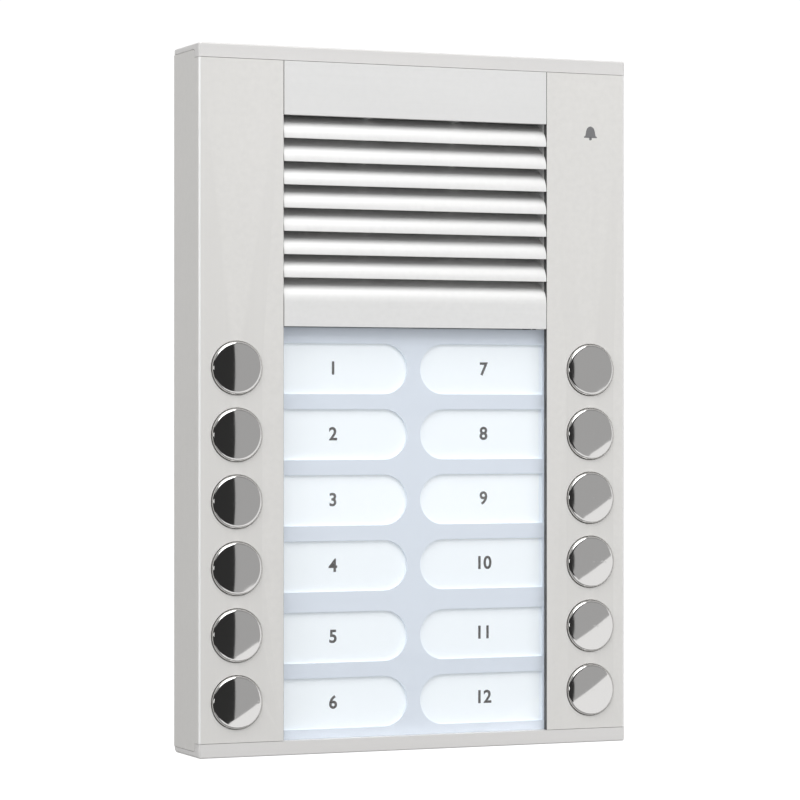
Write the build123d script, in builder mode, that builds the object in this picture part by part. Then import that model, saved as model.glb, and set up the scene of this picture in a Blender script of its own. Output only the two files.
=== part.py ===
# Surface-mounted door intercom panel, in millimetres.
# +Z is up, the front faces -Y, and the origin is the middle of the wall face.
import os

from build123d import *

os.makedirs("parts", exist_ok=True)

# Overall sizes
width = 166.0
height = 250.0
depth = 27.5  # wall to front face
wall_gap = 1.2  # the housing's back edges stay off the wall
seam = 0.15  # joint between two housing pieces
slide_fit = 0.15  # play of a sheet in its groove

# Bell buttons
button_diameter = 18.6
button_rise = 1.5
button_travel = 1.5
button_gap = 0.2  # ring between a button and its hole
button_wall = 1.2
button_top = 1.6
button_flange = 1.0  # how far the flange stands out
flange_thickness = 1.5
dome_radius = 100.0
edge_radius = 1.0
stem_radius = 2.0
stem_proud = 0.8  # stem end, behind the carrier's floor
running_fit = 0.07
seal_height = 1.2  # rubber ring between skin and flange
carrier_air = 3.8  # pressed flange to the carrier's floor
carrier_floor = 1.5
barrel_wall = 1.4
rows = 6
row_gap = 4.83  # between the edges of two buttons
top_margin = 14.7  # window edge to the first row
bottom_margin = 14.25
outer_land = 4.8  # button edge to the side of the housing
inner_land = 8.35

# Rails
skin = 2.5  # front wall
side_wall = 2.0
web = 3.0
web_depth = 16.0
corner_radius = 0.8
groove_front = 2.2
groove_back = 9.3
groove_depth = 1.5
port_radius = 2.8
port_hole = 1.25
port_sink = 0.6  # how far a screw port runs into its wall
port_y = -9.5
rib = 1.2

# End caps
cap_plate = 2.0
apron_height = 5.0
apron_depth = 4.0
cap_inner_radius = 2.0
top_back_radius = 0.4
bottom_back_radius = 1.9
cap_edge = 0.5

# Louvred grille
louvre_pitch = 8.2
louvre_nose = 5.0  # front to back of the rounded nose
louvre_rise = 6.2
louvre_turn = 65.0  # angle at which the nose runs out into the leaf
louvre_depth = 8.6
louvre_thickness = 1.4
blank_top = 19.1
blank_bottom = 9.2
grille_back = 9.0
grille_rib = 1.6
grille_bar = 1.2

# Window, mask and cards
cover_recess = 2.3
cover_thickness = 2.0
mask_thickness = 1.0
card_thickness = 0.4
diffuser_thickness = 3.0
field_height = 18.1
field_gap = 5.0
card_height = 21.0
lower_fields = 2  # rows whose fields sit lower than their buttons
lower_drop = 1.8

# Boards
board_thickness = 1.6
board_gap = 3.7  # air between the diffuser and the main board
board_edge = 4.0  # window edge to the main board's edge
led_length = 3.5
led_width = 2.8
led_height = 1.0
switch_height = 3.5
plunger_height = 0.8
plunger_gap = 0.05

# Springs
wire_radius = 0.28
coil_radius = 3.3
coil_turns = 5
spring_play = 0.05

# Speaker and microphone
speaker_size = 56.0
speaker_x = -17.0
cone_depth = 5.0
magnet_radius = 12.0
magnet_height = 4.6
microphone_x = 33.0
microphone_drop = 14.0  # below the middle of the grille
cloth_thickness = 0.4
gasket_thickness = 1.5
rim_thickness = 1.2
clamp_thickness = 1.0

# Wall bracket
plate_thickness = 1.6
seal_thickness = 0.8
plate_play = 1.5  # to the inside of the rails
pivot_depth = 4.2  # hinge line, from the wall
pivot_drop = 0.4  # hinge line, below the cap
hook_height = 1.2
hook_thickness = 1.2
hook_gap = 1.0  # hook to the bracket's lip
jog_start = 8.0  # hinge line to the lower and upper end of the bracket's jog
jog_end = 4.6
bracket_rise = 6.6  # bracket's lower edge, above the housing's
flange_half = 46.0
flange_depth = 11.0
screw_spacing_x = 120.0
screw_spacing_z = 180.0
wall_hole = 2.25
cable_hole = 8.0
cable_bore = 5.0
cable_z = -60.0
grommet_lip = 2.0

# Screws
screw_shank = 1.2
screw_head = 2.6
lock_shank = 1.5
lock_head = 2.9
lock_x = 40.0
lock_depth = 8.0  # lock screw axis, from the wall
screw_play = 0.12

# Places that follow from the sizes
half_width = width / 2
half_height = height / 2
button_radius = button_diameter / 2
button_x = half_width - outer_land - button_radius
rail_x = button_x - button_radius - inner_land
rail_half = half_height - cap_plate
row_pitch = button_diameter + row_gap
window_bottom = apron_height - half_height
window_top = window_bottom + bottom_margin + (rows - 1) * row_pitch + top_margin
grille_top = half_height - apron_height
row_heights = [window_top - top_margin - row * row_pitch for row in range(rows)]
field_heights = [
    z - (lower_drop if row >= rows - lower_fields else 0) for row, z in enumerate(row_heights)
]
louvre_top = grille_top - blank_top
louvre_count = int((louvre_top - window_top - blank_bottom) / louvre_pitch)
louvre_bottom = louvre_top - louvre_count * louvre_pitch
grille_middle = (grille_top + window_top) / 2
speaker_radius = min(speaker_size / 2, (grille_top - window_top) / 2 - 4)
groove_x = rail_x + groove_depth
sheet_half = groove_x - slide_fit
hole_radius = button_radius + button_gap
flange_radius = button_radius + button_flange
barrel_radius = flange_radius + running_fit
barrel_outside = barrel_radius + barrel_wall

# Distances behind the front face
mask_front = cover_recess + cover_thickness
card_front = mask_front + mask_thickness
diffuser_front = card_front + card_thickness
diffuser_back = diffuser_front + diffuser_thickness
board_front = diffuser_back + board_gap
board_back = board_front + board_thickness
seal_front = skin
flange_front = seal_front + seal_height
flange_back = flange_front + flange_thickness
ceiling = button_top - button_rise
floor_front = flange_back + button_travel + carrier_air
floor_back = floor_front + carrier_floor
stem_end = floor_back + stem_proud
plunger_top = stem_end + button_travel + plunger_gap
switch_front = plunger_top + plunger_height
switch_board_front = switch_front + switch_height
switch_board_back = switch_board_front + board_thickness
boss_foot = grille_back - 0.3
gasket_front = grille_back + cloth_thickness
rim_front = gasket_front + gasket_thickness
rim_back = rim_front + rim_thickness
clamp_back = rim_back + clamp_thickness

# Wall bracket, heights and places
plate_half = half_width - side_wall - plate_play
plate_front = seal_thickness + plate_thickness
plate_bottom = bracket_rise - half_height
pivot_z = rail_half - pivot_drop
lip_radius = plate_thickness / 2
lip_back = pivot_depth - lip_radius
lip_front = pivot_depth + lip_radius
jog_bottom = pivot_z - jog_start
jog_top = pivot_z - jog_end
port_places = [
    (half_width - side_wall - port_radius + port_sink, port_y),
    (rail_x + web / 2, web_depth + port_radius - 1.0 - depth),
]
notch_z = (row_heights[2] + row_heights[3]) / 2
notch_height = 14.0
post_heights = [(row_heights[i] + row_heights[i + 1]) / 2 for i in (0, 1, 3, 4)]
clamp_reach = speaker_radius * 0.94
clamp_places = [
    (speaker_x + side * clamp_reach, grille_middle + up * clamp_reach)
    for side in (-1, 1)
    for up in (-1, 1)
]
boss_radius = 2.4
microphone_z = grille_middle - microphone_drop


def behind(distance):
    # plane parallel to the front face and looking forward
    return Plane.XZ.offset(depth - distance)


def span(x0, x1, y0, y1, mode=Mode.ADD):
    # rectangle between four edges, in the open sketch
    with Locations(((x0 + x1) / 2, (y0 + y1) / 2)):
        Rectangle(x1 - x0, y1 - y0, mode=mode)


def block(x0, x1, front, back, z0, z1, mode=Mode.ADD):
    # box in the open part, with front and back measured behind the front face
    with Locations(((x0 + x1) / 2, (front + back) / 2 - depth, (z0 + z1) / 2)):
        Box(x1 - x0, back - front, z1 - z0, mode=mode)


def pin(x, z, radius, front, back, mode=Mode.ADD):
    # cylinder along Y in the open part
    with Locations(Location((x, (front + back) / 2 - depth, z), (90, 0, 0))):
        Cylinder(radius, back - front, mode=mode)


def screw(plane, head, shank, length):
    # countersunk screw with its head on the plane and its shank along the normal
    foot = (Align.CENTER, Align.CENTER, Align.MIN)
    with Locations(plane):
        Cone(head, shank, head - shank, align=foot)
        Cylinder(shank, length, align=foot)
        for turn in (0, 90):
            with Locations(Rotation(0, 0, turn)):
                Box(head * 1.1, head * 0.26, head * 0.7, mode=Mode.SUBTRACT)


def screw_hole(plane, head, shank, length):
    # the hole for such a screw, with play all round
    foot = (Align.CENTER, Align.CENTER, Align.MIN)
    cut = Mode.SUBTRACT
    with Locations(plane):
        Cone(head + screw_play, shank + screw_play, head - shank, align=foot, mode=cut)
        Cylinder(shank + screw_play, length, align=foot, mode=cut)


def cap_outline(outline, back_radius):
    # side view of the top cap: a plate with an apron at its front
    span(-depth, -wall_gap, rail_half, half_height)
    span(-depth, apron_depth - depth, grille_top, half_height)
    for corner, radius in (
        ((apron_depth - depth, rail_half), cap_inner_radius),
        ((-wall_gap, half_height), back_radius),
        ((-depth, half_height), cap_edge),
    ):
        fillet(outline.vertices().sort_by_distance(corner)[0], radius)


# Rails: aluminium extrusions that hold the buttons and grip everything between them
with BuildPart() as right_rail:
    with BuildSketch(Plane.XY.offset(-rail_half)) as rail_section:
        span(rail_x, half_width, -depth, skin - depth)
        span(half_width - side_wall, half_width, -depth, -wall_gap)
        span(rail_x, rail_x + web, -depth, web_depth - depth)
        rib_span = (floor_back + seam - depth, floor_back + seam + rib - depth)
        span(rail_x + web - 0.1, rail_x + web + rib, *rib_span)
        span(half_width - side_wall - rib, half_width - side_wall + 0.1, *rib_span)
        with Locations(*port_places):
            Circle(port_radius)
        with Locations(*port_places):
            Circle(port_hole, mode=Mode.SUBTRACT)
        span(rail_x - 1, groove_x, groove_front - depth, groove_back - depth, Mode.SUBTRACT)
        slot_span = (board_front - 0.1 - depth, board_back + 0.1 - depth)
        span(rail_x - 1, groove_x, *slot_span, Mode.SUBTRACT)
        outer = rail_section.vertices().sort_by_distance((half_width, -depth))[0]
        fillet(outer, corner_radius)
        inner = rail_section.vertices().sort_by_distance((rail_x, -depth))[0]
        chamfer(inner, 0.2)
    extrude(amount=2 * rail_half)
    with BuildSketch(Plane.YZ) as rail_side:
        span(-depth, -wall_gap, seam - rail_half, rail_half - seam)
        for end in (-1, 1):
            edges = sorted((end * (grille_top - seam), end * half_height))
            span(-depth - 1, apron_depth + seam - depth, *edges, Mode.SUBTRACT)
        for end in (-1, 1):
            corner = (apron_depth + seam - depth, end * (rail_half - seam))
            fillet(rail_side.vertices().sort_by_distance(corner)[0], cap_inner_radius)
    extrude(amount=half_width, mode=Mode.INTERSECT)
    with BuildSketch(behind(0)):
        with Locations(*[(button_x, z) for z in row_heights]):
            Circle(hole_radius)
    extrude(amount=-skin, mode=Mode.SUBTRACT)
    chamfer(
        right_rail.edges()
        .filter_by(GeomType.CIRCLE)
        .filter_by(lambda edge: abs(edge.radius - hole_radius) < 0.01)
        .group_by(Axis.Y)[0],
        0.2,
    )
    block(
        rail_x - 2,
        rail_x + web + 1.6,
        board_back + 0.6,
        depth - wall_gap - 2,
        notch_z - notch_height / 2,
        notch_z + notch_height / 2,
        Mode.SUBTRACT,
    )
right_rail.part.label = "right_rail"
export_step(right_rail.part, "parts/right_rail.step")

with BuildPart() as left_rail:
    mirror(right_rail.part, about=Plane.YZ)
left_rail.part.label = "left_rail"
export_step(left_rail.part, "parts/left_rail.step")

# End caps, each held by four screws in the rails' screw ports
cap_screw_places = [(side * x, y) for side in (-1, 1) for x, y in port_places]

with BuildPart() as top_cap:
    with BuildSketch(Plane.YZ.offset(-half_width)) as top_outline:
        cap_outline(top_outline, top_back_radius)
    extrude(amount=width)
    fillet(top_cap.edges().filter_by(Axis.Z).group_by(Axis.Y)[0], corner_radius)
    hook_front = pivot_depth - lip_radius - hook_gap
    hook_back = hook_front - hook_thickness
    block(
        -plate_half,
        plate_half,
        depth - hook_front,
        depth - hook_back,
        pivot_z - hook_height,
        rail_half + 0.1,
    )
    with Locations(Location((0, -pivot_depth, pivot_z), (0, 90, 0))):
        Cylinder(lip_radius + 0.1, 2 * plate_half, mode=Mode.SUBTRACT)
    for x, y in cap_screw_places:
        screw_hole(Plane((x, y, half_height), z_dir=(0, 0, -1)), screw_head, screw_shank, 8)
top_cap.part.label = "top_cap"
export_step(top_cap.part, "parts/top_cap.step")

with BuildPart() as bottom_cap:
    with BuildSketch(Plane.YZ.offset(-half_width)) as bottom_outline:
        cap_outline(bottom_outline, bottom_back_radius)
        mirror(about=Plane.XZ, mode=Mode.REPLACE)
    extrude(amount=width)
    fillet(bottom_cap.edges().filter_by(Axis.Z).group_by(Axis.Y)[0], corner_radius)
    for x, y in cap_screw_places:
        screw_hole(Plane((x, y, -half_height), z_dir=(0, 0, 1)), screw_head, screw_shank, 8)
    for side in (-1, 1):
        lock_plane = Plane((side * lock_x, -lock_depth, -half_height), z_dir=(0, 0, 1))
        screw_hole(lock_plane, lock_head, lock_shank, 8)
bottom_cap.part.label = "bottom_cap"
export_step(bottom_cap.part, "parts/bottom_cap.step")

with BuildPart() as cap_screws:
    for x, y in cap_screw_places:
        for end in (-1, 1):
            seat = Plane((x, y, end * half_height), z_dir=(0, 0, -end))
            screw(seat, screw_head, screw_shank, 14)
cap_screws.part.label = "cap_screws"
export_step(cap_screws.part, "parts/cap_screws.step")

# Grille: a plate with curved louvres, slid between the rails from above
with BuildPart() as grille_panel:
    for z0, z1 in ((louvre_top, grille_top - seam), (window_top + seam, louvre_bottom)):
        block(seam - rail_x, rail_x - seam, 0, skin, z0, z1)
    with BuildSketch(Plane.YZ.offset(seam - rail_x)):
        for number in range(1, louvre_count + 1):
            centre = (louvre_nose - depth, louvre_top - number * louvre_pitch)
            with BuildLine():
                outer, inner = [
                    EllipticalCenterArc(
                        centre,
                        louvre_nose - inset,
                        louvre_rise - inset,
                        180 - louvre_turn,
                        arc_size=louvre_turn,
                    )
                    for inset in (0, louvre_thickness)
                ]
                leaf = (outer % 0) * -1
                tips = [
                    arc @ 0 + leaf * ((louvre_depth - depth - (arc @ 0).X) / leaf.X)
                    for arc in (outer, inner)
                ]
                Polyline(outer @ 0, *tips, inner @ 0)
                Line(outer @ 1, inner @ 1)
            make_face()
    extrude(amount=2 * (rail_x - seam))
    for side in (-1, 1):
        x0, x1 = sorted((side * (rail_x - seam), side * sheet_half))
        block(x0, x1, groove_front + seam, groove_back - seam, window_top + seam, grille_top - seam)
    for x in (-rail_x / 3, rail_x / 3):
        block(
            x - grille_rib / 2,
            x + grille_rib / 2,
            louvre_depth - 0.6,
            grille_back,
            louvre_bottom - 2,
            louvre_top + 2,
        )
        block(x - grille_rib / 2, x + grille_rib / 2, skin - 0.1, grille_back, louvre_top, louvre_top + 2)
        block(
            x - grille_rib / 2, x + grille_rib / 2, skin - 0.1, grille_back, louvre_bottom - 2, louvre_bottom
        )
    # cross bars carry the bosses of the speaker clamp
    for z in (grille_middle - clamp_reach, grille_middle + clamp_reach):
        block(
            -rail_x + seam,
            rail_x - seam,
            louvre_depth - 0.6,
            grille_back,
            z - grille_bar / 2,
            z + grille_bar / 2,
        )
    for x, z in clamp_places:
        pin(x, z, boss_radius, boss_foot, rim_back)
        pin(x, z, 0.8, rim_back - 4, rim_back, Mode.SUBTRACT)
    pin(microphone_x, microphone_z, 8.0, boss_foot, gasket_front + 6)
    pin(microphone_x, microphone_z, 6.5, boss_foot, gasket_front + 6, Mode.SUBTRACT)
    block(
        rail_x / 3,
        rail_x - seam,
        louvre_depth - 0.6,
        grille_back,
        microphone_z + 7.0,
        microphone_z + 7.8,
    )
grille_panel.part.label = "grille_panel"
export_step(grille_panel.part, "parts/grille_panel.step")

with BuildPart() as grille_cloth:
    with BuildSketch(behind(grille_back)):
        span(0.6 - rail_x, rail_x - 0.6, louvre_bottom - 1.8, louvre_top + 1.8)
        with Locations(*clamp_places):
            Circle(boss_radius + 0.1, mode=Mode.SUBTRACT)
        with Locations((microphone_x, microphone_z)):
            Circle(8.1, mode=Mode.SUBTRACT)
    extrude(amount=-cloth_thickness)
grille_cloth.part.label = "grille_cloth"
export_step(grille_cloth.part, "parts/grille_cloth.step")


def turned(x, z, outline):
    # revolve an outline of (radius, distance behind the front) points about a Y axis
    with BuildSketch(Plane((x, 0, z))) as profile:
        with BuildLine():
            Polyline(*[(radius, back - depth) for radius, back in outline], close=True)
        make_face()
    revolve(profile.sketch, axis=Axis((x, 0, z), (0, 1, 0)))


# Speaker
magnet_front = rim_back + cone_depth
magnet_back = magnet_front + magnet_height
with BuildPart() as speaker_gasket:
    turned(
        speaker_x,
        grille_middle,
        [
            (speaker_radius - 4, gasket_front),
            (speaker_radius, gasket_front),
            (speaker_radius, rim_front),
            (speaker_radius - 4, rim_front),
        ],
    )
speaker_gasket.part.label = "speaker_gasket"
export_step(speaker_gasket.part, "parts/speaker_gasket.step")

with BuildPart() as speaker_basket:
    turned(
        speaker_x,
        grille_middle,
        [
            (speaker_radius - 3, rim_front),
            (speaker_radius, rim_front),
            (speaker_radius, rim_back),
            (speaker_radius - 4, rim_back),
            (magnet_radius + 1.5, magnet_front),
            (0, magnet_front),
            (0, magnet_front - 1),
            (magnet_radius, magnet_front - 1),
            (speaker_radius - 4.5, rim_back - 0.8),
            (speaker_radius - 3, rim_back - 0.8),
        ],
    )
speaker_basket.part.label = "speaker_basket"
export_step(speaker_basket.part, "parts/speaker_basket.step")

with BuildPart() as speaker_cone:
    turned(
        speaker_x,
        grille_middle,
        [
            (0, magnet_front - 3.2),
            (7, magnet_front - 2.2),
            (speaker_radius - 8, rim_front + 0.1),
            (speaker_radius - 3.2, rim_front + 0.1),
            (speaker_radius - 3.2, rim_front + 0.35),
            (speaker_radius - 8, rim_front + 0.4),
            (7, magnet_front - 1.8),
            (0, magnet_front - 2.8),
        ],
    )
speaker_cone.part.label = "speaker_cone"
export_step(speaker_cone.part, "parts/speaker_cone.step")

with BuildPart() as speaker_magnet:
    pin(speaker_x, grille_middle, magnet_radius, magnet_front, magnet_back)
    fillet(speaker_magnet.edges().group_by(Axis.Y)[-1], 0.6)
speaker_magnet.part.label = "speaker_magnet"
export_step(speaker_magnet.part, "parts/speaker_magnet.step")

with BuildPart() as speaker_clamp:
    with BuildSketch(behind(rim_back)):
        with Locations((speaker_x, grille_middle)):
            RectangleRounded(2 * clamp_reach + 9, 2 * clamp_reach + 9, 4)
            Circle(speaker_radius - 2, mode=Mode.SUBTRACT)
        with Locations(*clamp_places):
            Circle(1.1, mode=Mode.SUBTRACT)
    extrude(amount=-clamp_thickness)
speaker_clamp.part.label = "speaker_clamp"
export_step(speaker_clamp.part, "parts/speaker_clamp.step")

# Microphone in a rubber boot
with BuildPart() as microphone_boot:
    turned(
        microphone_x,
        microphone_z,
        [
            (3.0, grille_back),
            (6.4, grille_back),
            (6.4, gasket_front + 7),
            (2.0, gasket_front + 7),
            (2.0, gasket_front + 5),
            (4.9, gasket_front + 5),
            (4.9, gasket_front + 1),
            (3.0, gasket_front + 1),
        ],
    )
microphone_boot.part.label = "microphone_boot"
export_step(microphone_boot.part, "parts/microphone_boot.step")

with BuildPart() as microphone:
    pin(microphone_x, microphone_z, 4.85, gasket_front + 1, gasket_front + 5)
microphone.part.label = "microphone"
export_step(microphone.part, "parts/microphone.step")

# Window: clear cover, mask with twelve fields, name cards and an opal diffuser
stack_bottom = window_bottom + seam
stack_top = window_top - seam
field_radius = field_height / 2

with BuildPart() as window_cover:
    block(-sheet_half, sheet_half, cover_recess, mask_front, stack_bottom, stack_top)
window_cover.part.label = "window_cover"
export_step(window_cover.part, "parts/window_cover.step")

with BuildPart() as label_mask:
    block(-sheet_half, sheet_half, mask_front, card_front, stack_bottom, stack_top)
    with BuildSketch(behind(mask_front)):
        for z in field_heights:
            for side in (-1, 1):
                inner = side * (field_gap / 2 + field_radius)
                x0, x1 = sorted((inner, side * rail_x))
                span(x0, x1, z - field_radius, z + field_radius)
                with Locations((inner, z)):
                    Circle(field_radius)
    extrude(amount=-mask_thickness, mode=Mode.SUBTRACT)
label_mask.part.label = "label_mask"
export_step(label_mask.part, "parts/label_mask.step")

with BuildPart() as name_cards:
    for z in field_heights:
        for side in (-1, 1):
            x0, x1 = sorted((side * field_gap / 4, side * (sheet_half - 0.2)))
            block(x0, x1, card_front, diffuser_front, z - card_height / 2, z + card_height / 2)
name_cards.part.label = "name_cards"
export_step(name_cards.part, "parts/name_cards.step")

with BuildPart() as light_diffuser:
    block(-sheet_half, sheet_half, diffuser_front, diffuser_back, stack_bottom, stack_top)
light_diffuser.part.label = "light_diffuser"
export_step(light_diffuser.part, "parts/light_diffuser.step")

# Main board, with its lamps in front and its parts behind
board_bottom = window_bottom + board_edge
board_top = window_top - board_edge
with BuildPart() as main_board:
    block(-sheet_half, sheet_half, board_front, board_back, board_bottom, board_top)
main_board.part.label = "main_board"
export_step(main_board.part, "parts/main_board.step")

with BuildPart() as backlight_leds:
    for z in field_heights:
        for share in (-0.72, -0.3, 0.3, 0.72):
            x = share * rail_x
            block(
                x - led_length / 2,
                x + led_length / 2,
                board_front - led_height,
                board_front,
                z - led_width / 2,
                z + led_width / 2,
            )
backlight_leds.part.label = "backlight_leds"
export_step(backlight_leds.part, "parts/backlight_leds.step")

# (x, drop below the board's top edge, width, height, stand-off) of each packaged part
packages = [
    (-30, 16, 14, 14, 1.4),
    (-8, 14, 9, 6, 1.2),
    (12, 16, 7, 7, 1.0),
    (31, 18, 15, 19, 7.5),
    (-30, 44, 10, 12, 5.0),
    (30, 46, 8, 8, 3.0),
    (-31, 84, 9, 9, 3.5),
]
cans = [(-10, 32, 4.0, 7.5), (2, 32, 4.0, 7.5), (-36, 66, 3.2, 6.5), (34, 66, 3.2, 6.5)]
with BuildPart() as board_components:
    for x, drop, wide, tall, stand in packages:
        z = board_top - drop
        block(x - wide / 2, x + wide / 2, board_back, board_back + stand, z - tall / 2, z + tall / 2)
    for x, drop, radius, stand in cans:
        pin(x, board_top - drop, radius, board_back, board_back + stand)
board_components.part.label = "board_components"
export_step(board_components.part, "parts/board_components.step")

# Plug-in terminal for the two wires of the door line
terminal_z = board_bottom + 14.0
with BuildPart() as terminal_header:
    block(-8, 8, board_back, board_back + 7.5, terminal_z, terminal_z + 8)
    block(-7, 7, board_back + 1, board_back + 6.5, terminal_z - 0.1, terminal_z + 6, Mode.SUBTRACT)
terminal_header.part.label = "terminal_header"
export_step(terminal_header.part, "parts/terminal_header.step")

with BuildPart() as terminal_plug:
    block(-6.8, 6.8, board_back + 1.2, board_back + 6.3, terminal_z, terminal_z + 5.8)
    block(-8, 8, board_back + 0.3, board_back + 8, terminal_z - 9, terminal_z - 0.1)
    for x in (-4, 4):
        pin(x, terminal_z - 5, 1.9, board_back + 5.5, board_back + 8, Mode.SUBTRACT)
        block(
            x - 1.4,
            x + 1.4,
            board_back + 1.6,
            board_back + 4.6,
            terminal_z - 9,
            terminal_z - 2,
            Mode.SUBTRACT,
        )
    block(-6.8, 6.8, board_back + 1.2, board_back + 6.3, terminal_z - 0.2, terminal_z)
terminal_plug.part.label = "terminal_plug"
export_step(terminal_plug.part, "parts/terminal_plug.step")

with BuildPart() as terminal_screws:
    for x in (-4, 4):
        pin(x, terminal_z - 5, 1.8, board_back + 5.6, board_back + 7.6)
        block(
            x - 1.4,
            x + 1.4,
            board_back + 7.0,
            board_back + 8,
            terminal_z - 5.25,
            terminal_z - 4.75,
            Mode.SUBTRACT,
        )
terminal_screws.part.label = "terminal_screws"
export_step(terminal_screws.part, "parts/terminal_screws.step")

# Button carriers: one moulding in each rail, with a barrel round every button
carrier_x0 = rail_x + web + slide_fit
carrier_x1 = half_width - side_wall - slide_fit
carrier_bottom = row_heights[-1] - barrel_outside
carrier_top = row_heights[0] + barrel_outside
with BuildPart() as button_carriers:
    block(carrier_x0, carrier_x1, floor_front, floor_back, carrier_bottom, carrier_top)
    for z in row_heights:
        pin(button_x, z, barrel_outside, skin, floor_front)
    for z in row_heights:
        pin(button_x, z, barrel_radius, skin, floor_front, Mode.SUBTRACT)
        pin(button_x, z, stem_radius + running_fit, floor_front, floor_back, Mode.SUBTRACT)
    for z in post_heights:
        pin(button_x, z, boss_radius, floor_back, switch_board_front)
        pin(button_x, z, 0.8, switch_board_front - 4, switch_board_front, Mode.SUBTRACT)
    mirror(button_carriers.part, about=Plane.YZ)
button_carriers.part.label = "button_carriers"
export_step(button_carriers.part, "parts/button_carriers.step")

with BuildPart() as button_seals:
    with BuildSketch(behind(seal_front)):
        with Locations(*[(side * button_x, z) for side in (-1, 1) for z in row_heights]):
            Circle(barrel_radius - 0.1)
            Circle(hole_radius, mode=Mode.SUBTRACT)
    extrude(amount=seal_front - flange_front)
button_seals.part.label = "button_seals"
export_step(button_seals.part, "parts/button_seals.step")

with BuildPart() as switch_boards:
    board_x0 = button_x - 9.0
    board_x1 = button_x + 5.6
    block(board_x0, board_x1, switch_board_front, switch_board_back, carrier_bottom, carrier_top)
    for z in post_heights:
        pin(button_x, z, 1.1, switch_board_front, switch_board_back, Mode.SUBTRACT)
    mirror(switch_boards.part, about=Plane.YZ)
switch_boards.part.label = "switch_boards"
export_step(switch_boards.part, "parts/switch_boards.step")

with BuildPart() as tact_switches:
    for side in (-1, 1):
        for z in row_heights:
            x = side * button_x
            block(x - 3, x + 3, switch_front, switch_board_front, z - 3, z + 3)
            pin(x, z, 1.75, plunger_top, switch_front)
tact_switches.part.label = "tact_switches"
export_step(tact_switches.part, "parts/tact_switches.step")

# Flat cables pass through the notches in the rails' webs
cable_front = board_back + 3.2
cable_thickness = 0.3
with BuildPart() as board_sockets:
    block(rail_x - 9, rail_x - 4, board_back, cable_front + 1.4, notch_z - 5, notch_z + 5)
    block(
        board_x0 + 0.3,
        board_x0 + 3.6,
        cable_front - 1.0,
        switch_board_front,
        notch_z - 5,
        notch_z + 5,
    )
    mirror(board_sockets.part, about=Plane.YZ)
board_sockets.part.label = "board_sockets"
export_step(board_sockets.part, "parts/board_sockets.step")

with BuildPart() as flat_cables:
    block(
        rail_x - 4,
        board_x0 + 0.3,
        cable_front,
        cable_front + cable_thickness,
        notch_z - 4,
        notch_z + 4,
    )
    mirror(flat_cables.part, about=Plane.YZ)
flat_cables.part.label = "flat_cables"
export_step(flat_cables.part, "parts/flat_cables.step")

with BuildPart() as board_screws:
    for side in (-1, 1):
        for z in post_heights:
            pin(side * button_x, z, 0.75, switch_board_back - 5, switch_board_back)
            pin(side * button_x, z, 1.9, switch_board_back, switch_board_back + 1.2)
    for x, z in clamp_places:
        pin(x, z, 0.75, clamp_back - 4.5, clamp_back)
        pin(x, z, 1.9, clamp_back, clamp_back + 1.2)
board_screws.part.label = "board_screws"
export_step(board_screws.part, "parts/board_screws.step")


# Buttons: turned from stainless steel in one piece with their stems
def button_solid(x, z):
    with BuildPart() as button:
        with BuildSketch(Plane((x, 0, z))):
            with BuildLine():
                shoulder = button_radius - edge_radius
                drop = shoulder**2 / (2 * dome_radius)
                crest = -button_rise - depth
                dome = RadiusArc((0, crest), (shoulder, crest + drop), -dome_radius)
                edge = TangentArc(
                    dome @ 1, (button_radius, crest + drop + edge_radius), tangent=dome % 1
                )
                Polyline(
                    edge @ 1,
                    (button_radius, flange_front - depth),
                    (flange_radius, flange_front - depth),
                    (flange_radius, flange_back - depth),
                    (button_radius - button_wall, flange_back - depth),
                    (button_radius - button_wall, ceiling + 0.6 - depth),
                    (button_radius - button_wall - 0.6, ceiling - depth),
                    (stem_radius, ceiling - depth),
                    (stem_radius, stem_end - depth),
                    (0, stem_end - depth),
                    dome @ 0,
                )
            make_face()
        revolve(axis=Axis((x, 0, z), (0, 1, 0)))
    return button.part


def spring_solid(x, z):
    # the coil fills the space between the carrier's floor and the button's top
    first = ceiling + wire_radius + spring_play
    last = floor_front - wire_radius - spring_play
    with BuildPart() as spring:
        with BuildLine() as coil:
            Helix(
                (last - first) / coil_turns,
                last - first,
                coil_radius,
                center=(x, first - depth, z),
                direction=(0, 1, 0),
            )
        with BuildSketch(Plane(coil.line @ 0, z_dir=coil.line % 0)):
            Circle(wire_radius)
        sweep(is_frenet=True)
    return spring.part


for column, side in (("l", -1), ("r", 1)):
    for number, z in enumerate(row_heights, 1):
        button = button_solid(side * button_x, z)
        button.label = f"button_{column}{number}"
        export_step(button, f"parts/button_{column}{number}.step")
        spring = spring_solid(side * button_x, z)
        spring.label = f"spring_{column}{number}"
        export_step(spring, f"parts/spring_{column}{number}.step")

# Lock screws: they leave the bracket's open slots when the front swings out
lock_places = [(side * lock_x, -lock_depth) for side in (-1, 1)]
lock_nut_z = plate_bottom + plate_thickness + 0.9
with BuildPart() as lock_screws:
    for x, y in lock_places:
        screw(Plane((x, y, -half_height), z_dir=(0, 0, 1)), lock_head, lock_shank, 14.5)
lock_screws.part.label = "lock_screws"
export_step(lock_screws.part, "parts/lock_screws.step")

with BuildPart() as lock_nuts:
    with BuildSketch(Plane.XY.offset(lock_nut_z)):
        with Locations(*lock_places):
            Rectangle(5.5, 5.5)
            Circle(lock_shank + 0.04, mode=Mode.SUBTRACT)
    extrude(amount=2.2)
lock_nuts.part.label = "lock_nuts"
export_step(lock_nuts.part, "parts/lock_nuts.step")

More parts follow.
